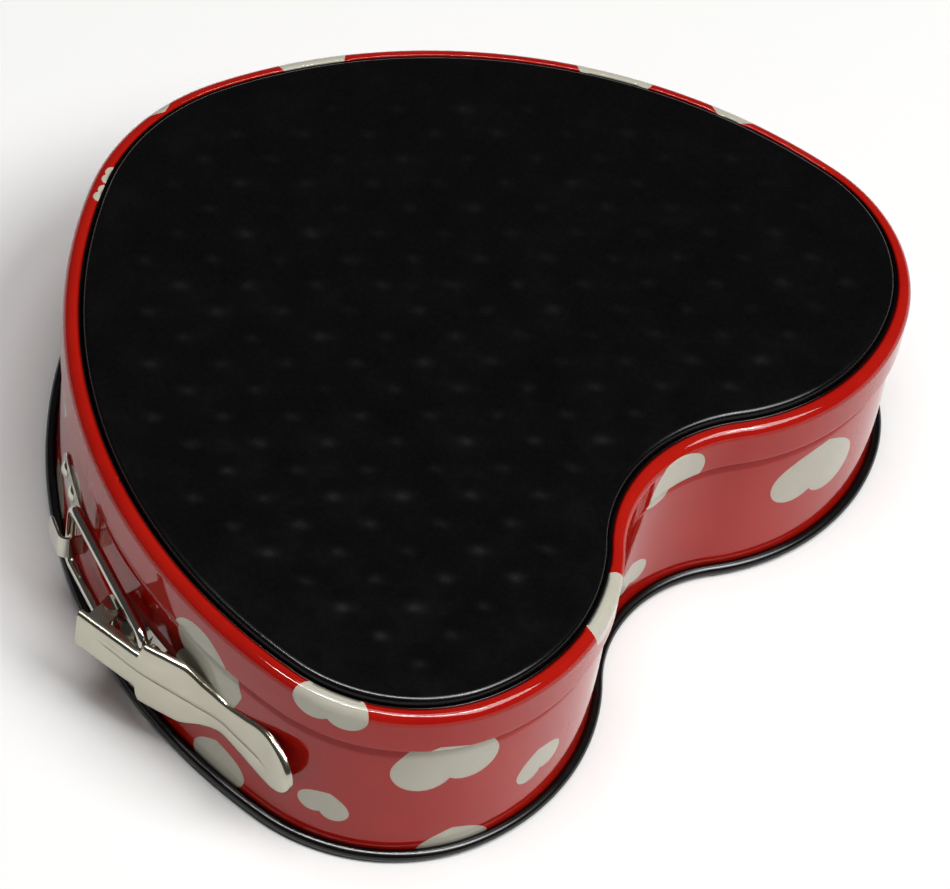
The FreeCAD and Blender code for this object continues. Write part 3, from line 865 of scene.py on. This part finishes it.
# --- Lever's two pressed creases, which run aslant from the heel towards the spoon ----------------
CREASE_PROFILE = (0.0, 0.5, 1.0, 0.5, 0.0)
CREASE_HALF = 0.5
CREASE_FROM, CREASE_SLANT = (-62.0, 1.5), -4.6 / 53.0
TWIN_APART = 2.6
CREASE_DEEP, CREASE_ENDS = 0.26, ((-70.0, 5.0), (-5.0, 5.0))        # (place, run-out) of either end
TWIN_DEEP, TWIN_ENDS = 0.18, ((-69.0, 4.0), (-50.0, 8.0))
FULL_FLAT = 4.5                     # where the face is narrower than this, the creases close up
FACE_STEPS = 6


def smooth_between(knots, x):
    """Smooth curve through (x, value) knots, level where it turns back and at both ends."""
    if x <= knots[0][0]:
        return knots[0][1]
    if x >= knots[-1][0]:
        return knots[-1][1]
    k = max(i for i, knot in enumerate(knots[:-1]) if knot[0] <= x)

    def slope(i):
        if i <= 0 or i >= len(knots) - 1:
            return 0.0
        before = (knots[i][1] - knots[i - 1][1]) / (knots[i][0] - knots[i - 1][0])
        after = (knots[i + 1][1] - knots[i][1]) / (knots[i + 1][0] - knots[i][0])
        return 0.0 if before * after <= 0 else (before + after) / 2

    (x0, y0), (x1, y1) = knots[k], knots[k + 1]
    h = x1 - x0
    a = (x - x0) / h
    return ((2 * a ** 3 - 3 * a ** 2 + 1) * y0 + (a ** 3 - 2 * a ** 2 + a) * h * slope(k)
            + (-2 * a ** 3 + 3 * a ** 2) * y1 + (a ** 3 - a ** 2) * h * slope(k + 1))


def spoon_share(y):
    """How far along the spoon's round end y is, from 0 to 1."""
    return max(0.0, (y - SPOON_AT) / (TIP_AT - SPOON_AT))


def lever_half(y):
    """Half width of the lever's outline at y."""
    if y < STEP_AT:
        return HEEL_HALF + (WIDE_HALF - HEEL_HALF) * max(0.0, min(1.0, (y - STEP_AT + STEP_RUN) / STEP_RUN))
    if y < SPOON_AT:
        return smooth_between(LEVER_HALF, y)
    return SPOON_HALF * math.sqrt(max(0.0, 1 - spoon_share(y) ** SPOON_POWER)) + TIP_HALF


def lever_corner(half):
    """Radius of the lever's curled edges, smaller where it narrows at the spoon's end."""
    return min(EDGE_R, half * EDGE_SHARE)


def lever_depth(y, outer_x):
    """How deep the side flange reaches from the outer face towards the wall."""
    reach = [outer_x - LIP]
    for hinge in (PIVOT, BAIL_AT):
        if abs(y - hinge.y) < BOSS_R:
            reach.append(hinge.x - math.sqrt(BOSS_R ** 2 - (y - hinge.y) ** 2))
    if PIVOT.y < y < BAIL_AT.y:
        reach.append(outer_x - WEB)
    return outer_x - min(reach)


def lever_stations():
    """Samples (place, outward direction) along the lever's plan, closer together at the tip."""
    plan = rounded(LEVER_PLAN, LEVER_PLAN_R, step=0.8, longest=0.4)
    (before, _), (last, direction) = plan[-2:]
    finer = [(before.lerp(last, share), direction) for share in LAST_STATIONS]
    plan = plan[:-1] + finer + plan[-1:]
    return [(place, Vector((direction.y, -direction.x))) for place, direction in plan]


def crease_at(y):
    """Across-place of the first crease."""
    return CREASE_FROM[1] + CREASE_SLANT * (y - CREASE_FROM[0])


def crease_depth(y, deep, ends):
    """Depth of a crease at y, which runs out to nothing at both of its ends."""
    (first, first_run), (last, last_run) = ends
    return deep * max(0.0, min(1.0, (y - first) / first_run, (last - y) / last_run))


def lever_ring(y, half, depth, offset):
    """One face of the section, from one lip over the top to the other lip."""
    corner = lever_corner(half)
    flat = half - corner
    shrink = min(1.0, flat / FULL_FLAT)
    crease = crease_at(y) * shrink
    twin = crease + TWIN_APART * shrink
    wide = CREASE_HALF * shrink
    shares = [k / FACE_STEPS for k in range(1, FACE_STEPS)]
    across = [(-flat + (crease - wide + flat) * share, 0.0) for share in shares]
    for middle, deep in ((crease, crease_depth(y, CREASE_DEEP, CREASE_ENDS)),
                         (twin, crease_depth(y, TWIN_DEEP, TWIN_ENDS))):
        for k, dip in enumerate(CREASE_PROFILE):
            across.append((middle + wide * (k / 2 - 1), deep * dip))
    across += [(twin + wide + (flat - twin - wide) * share, 0.0) for share in shares]
    reach = corner - offset
    rolls = []
    for k in range(CURL_STEPS + 1):
        angle = math.radians(180 - 90 * k / CURL_STEPS)
        rolls.append((flat - reach * math.cos(angle), corner - reach * math.sin(angle)))
    ring = [(offset - half, depth)] + [(-place, inward) for place, inward in rolls]
    ring += [(place, offset + dip) for place, dip in across]
    ring += rolls[::-1] + [(half - offset, depth)]
    return ring


def mesh_piece(name, verts, faces, material, sharp):
    """A smooth-shaded mesh whose real edges stay crisp. verts are in the heart frame."""
    mesh = bpy.data.meshes.new(name)
    mesh.from_pydata([to_metres(vert) for vert in verts], [], faces)
    mesh.materials.append(material)
    work = bmesh.new()
    work.from_mesh(mesh)
    bmesh.ops.remove_doubles(work, verts=work.verts, dist=SAME_PLACE * MM)
    bmesh.ops.recalc_face_normals(work, faces=work.faces)
    work.to_mesh(mesh)
    work.free()
    mesh.polygons.foreach_set("use_smooth", [True] * len(mesh.polygons))
    mesh.set_sharp_from_angle(angle=math.radians(sharp))
    made = bpy.data.objects.new(name, mesh)
    bpy.context.scene.collection.objects.link(made)
    return made


def lever_sections():
    """The lever's vertices, and for each station the outer ring's indices and the inner one's."""
    verts = []
    rings = []
    for place, out in lever_stations():
        y = place.y
        half = lever_half(y)
        centre = place + out * (LEVER_T / 2)
        depth = lever_depth(y, centre.x)
        if y > STEP_AT:
            depth = min(depth, CURL_DEPTH)
        end_drop = 0.0
        if y > TIP_AT - END_RUN:
            end_drop = END_DROP * (1 - math.sqrt(max(0.0, 1 - ((y - TIP_AT + END_RUN) / END_RUN) ** 2)))
            depth -= end_drop
        along = Vector((-out.y, out.x))
        thickness = min(LEVER_T, THIN_SHARE * lever_corner(half))
        end_wall = LEVER_T * spoon_share(y) ** END_WALL_POWER
        pair = []
        for offset, back in ((0.0, 0.0), (thickness, end_wall)):
            first = len(verts)
            for across, inward in lever_ring(y, half, depth, offset):
                spot = centre - out * (inward + end_drop) - along * back
                verts.append((spot.x, spot.y, CLASP_Z + across))
            pair.append(list(range(first, len(verts))))
        rings.append(pair)
    return verts, rings


def add_lever():
    """A pressed sheet with curled edges, open at the heel and closed at the spoon's tip."""
    verts, rings = lever_sections()
    faces = []
    last = len(rings[0][0]) - 1
    for (outer_a, inner_a), (outer_b, inner_b) in zip(rings, rings[1:]):
        for k in range(last):
            faces.append((outer_a[k], outer_a[k + 1], outer_b[k + 1], outer_b[k]))
            faces.append((inner_a[k + 1], inner_a[k], inner_b[k], inner_b[k + 1]))
        for k in (0, last):
            faces.append((outer_a[k], outer_b[k], inner_b[k], inner_a[k]))
    outer, inner = rings[0]
    for k in range(last):
        faces.append((outer[k], outer[k + 1], inner[k + 1], inner[k]))
    outer, inner = rings[-1]
    faces.append(tuple(outer))
    faces.append(tuple(inner))
    faces.append((outer[0], inner[0], inner[-1], outer[-1]))
    lever = mesh_piece("pressed_lever", verts, faces, LEVER_NICKEL, sharp=50.0)
    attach(lever, "lever")
    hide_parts("lever")


# --- Hook bracket ---------------------------------------------------------------------------------
HOOK_S, HOOK_LIP_S = (101.0, 132.6), 123.4
HOOK_SEAT_U, HOOK_LIP_U, HOOK_T = 3.25, 12.3, 0.8
HOOK_BEND, HOOK_CORNER = 2.4, 1.6
SEAT_HALF, LIP_HALF, NARROWS = 5.6, 4.4, (17.0, 25.0)       # it narrows over this stretch
STRIP_EDGE, STRIP_RING = 0.2, 8     # the bevel, and the section's vertices: two at each corner
SEAT_STEPS = 12


def hook_half(along, length):
    """Half width of the bent strip: a round end on the wall, a slim hook with rounded corners."""
    if along < SEAT_HALF:
        return math.sqrt(SEAT_HALF ** 2 - (SEAT_HALF - along) ** 2)
    left = length - along
    if left < HOOK_CORNER:
        return LIP_HALF - HOOK_CORNER + math.sqrt(HOOK_CORNER ** 2 - (HOOK_CORNER - left) ** 2)
    return smooth_between([(NARROWS[0], SEAT_HALF), (NARROWS[1], LIP_HALF)], along)


def add_hook():
    """Strip riveted flat to the wall, bent out and back over the bail's cross bar."""
    spread = HOOK_S[1] - HOOK_S[0]
    spots = [on_wall(HOOK_S[0] + spread * k / SEAT_STEPS, HOOK_SEAT_U) for k in range(SEAT_STEPS + 1)]
    spots += [on_wall(HOOK_S[1], HOOK_LIP_U), on_wall(HOOK_LIP_S, HOOK_LIP_U)]
    radii = [0.0] * (SEAT_STEPS - 1) + [HOOK_BEND, HOOK_BEND]
    path = rounded([spot.xy for spot in spots], radii, step=8.0, longest=0.4)
    length = sum((b[0] - a[0]).length for a, b in zip(path, path[1:]))
    verts = []
    faces = []
    along = 0.0
    for k, (place, direction) in enumerate(path):
        if k:
            along += (place - path[k - 1][0]).length
        half = hook_half(min(along, length), length)
        edge = min(STRIP_EDGE, half)
        left = Vector((-direction.y, direction.x))
        for side, up in ((1, 1), (1, -1), (-1, -1), (-1, 1)):
            inner = (HOOK_T / 2 - edge, half)
            outer = (HOOK_T / 2, half - edge)
            for out, rise in ((inner, outer) if side == up else (outer, inner)):
                spot = place + left * out * side
                verts.append((spot.x, spot.y, CLASP_Z + rise * up))
    ring = STRIP_RING
    for k in range(len(path) - 1):
        for i in range(ring):
            a, b = k * ring + i, k * ring + (i + 1) % ring
            faces.append((a, b, b + ring, a + ring))
    faces.append(tuple(range(ring)))
    faces.append(tuple(range(len(verts) - ring, len(verts))))
    hook = mesh_piece("bail_hook", verts, faces, NICKEL, sharp=40.0)
    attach(hook, "hook_side")
    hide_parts("hook_bracket")


# --- CAD pieces that stay, floor and lights -------------------------------------------------------
FLOOR_R, FLOOR_GAP = 4.0, 0.0002    # metres
FLOOR_SIDES = 64
WORLD_STRENGTH = 0.07


def dress(node, material):
    """Gives a CAD node one material."""
    mesh = frame["nodes"][node].data
    mesh.materials.clear()
    mesh.materials.append(material)


def dress_frame():
    """Materials for the CAD nodes that are seen as they are."""
    for node in ("lever_bracket", "lever_pivot_pin", "bail", "hook_rivet_1",
                 "hook_rivet_2", "bracket_rivet_1", "bracket_rivet_2"):
        dress(node, NICKEL)
    for node in ("rim_wire_clasp_half", "rim_wire_hook_half"):
        dress(node, WIRE)


def add_floor():
    """A wide pale table top whose far edge is never in view."""
    work = bmesh.new()
    bmesh.ops.create_circle(work, cap_ends=True, segments=FLOOR_SIDES, radius=FLOOR_R)
    mesh = bpy.data.meshes.new("floor")
    work.to_mesh(mesh)
    work.free()
    floor = bpy.data.objects.new("floor", mesh)
    floor.location.z = -FLOOR_GAP
    bpy.context.scene.collection.objects.link(floor)
    finish = Finish("pale_floor", (0.83, 0.83, 0.82))
    finish.roughness(finish.noise(scale=8), start=0.7, end=0.8)
    mesh.materials.append(finish.material)


def add_light(name, at, size, power):
    """A rectangular light that looks at the tin. Places and sizes are metres in the shared frame."""
    data = bpy.data.lights.new(name, "AREA")
    data.shape = "RECTANGLE"
    data.size, data.size_y = size
    data.energy = power
    light = bpy.data.objects.new(name, data)
    bpy.context.scene.collection.objects.link(light)
    light.location = at
    light.rotation_euler = (-Vector(at)).to_track_quat("-Z", "Y").to_euler()
    return light


def add_lights():
    """Two soft boxes, and a long tube that only gives the narrow highlights."""
    world = bpy.data.worlds.new("studio")
    bpy.context.scene.world = world
    world.use_nodes = True
    world.node_tree.nodes["Background"].inputs["Color"].default_value = (1, 1, 1, 1)
    world.node_tree.nodes["Background"].inputs["Strength"].default_value = WORLD_STRENGTH
    add_light("softbox_key", (-0.27, 1.44, 2.34), (1.26, 1.26), 62)
    add_light("softbox_top", (0.18, 0.09, 2.88), (1.44, 1.44), 40)
    tube = add_light("highlight_tube", (0.42, 0.25, 2.70), (3.0, 0.07), 120)
    tube.visible_diffuse = False


bpy.context.scene.view_settings.view_transform = "Standard"
add_camera()
add_band()
add_base_plate()
add_lever()
add_hook()
dress_frame()
add_floor()
add_lights()

bpy.context.view_layer.update()
